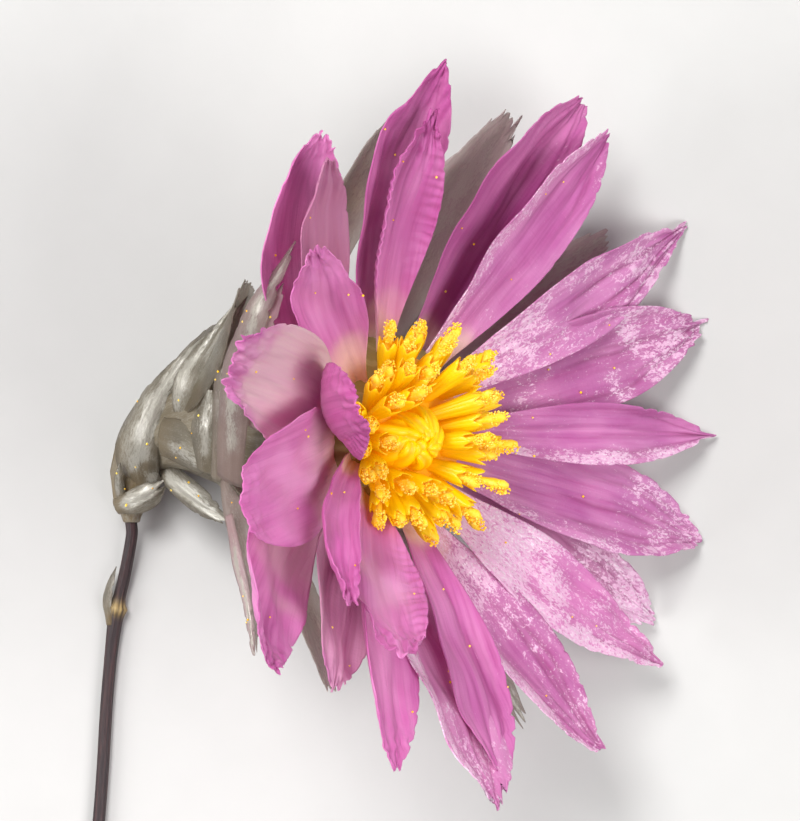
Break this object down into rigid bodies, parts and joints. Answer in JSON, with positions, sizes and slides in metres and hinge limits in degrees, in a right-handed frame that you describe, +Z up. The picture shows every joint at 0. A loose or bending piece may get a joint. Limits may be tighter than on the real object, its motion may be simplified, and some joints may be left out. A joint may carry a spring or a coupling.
{
  "type": "dried swan river everlasting",
  "caption": "Dried everlasting flower lying on its side: pink papery bracts in rows round a yellow disc, a silver scaly foot, and a thin cut stem with a papery scale.",
  "frame": {"origin": "the flat spot under the foot of the flower head, on the surface that it lies on", "axes": "+Z up from that surface, -Y along the cut stem away from the head, +X towards the side that the flower faces"},
  "size_m": [0.0308, 0.0595, 0.0241],
  "materials": {
    "pink_bract": "dry papery petal, pleated, with silky pale patches",
    "silver_bract": "thin translucent scale with a silky shine",
    "disc_yellow": "waxy tubular florets with powdery pollen",
    "stem_purple": "dry, finely ridged, dark purple-brown"
  },
  "bodies": {
    "root": {"pink_bracts": "pink_bract", "silver_bracts": "silver_bract", "disc_florets": "disc_yellow", "stem": "stem_purple"}
  },
  "joints": []
}
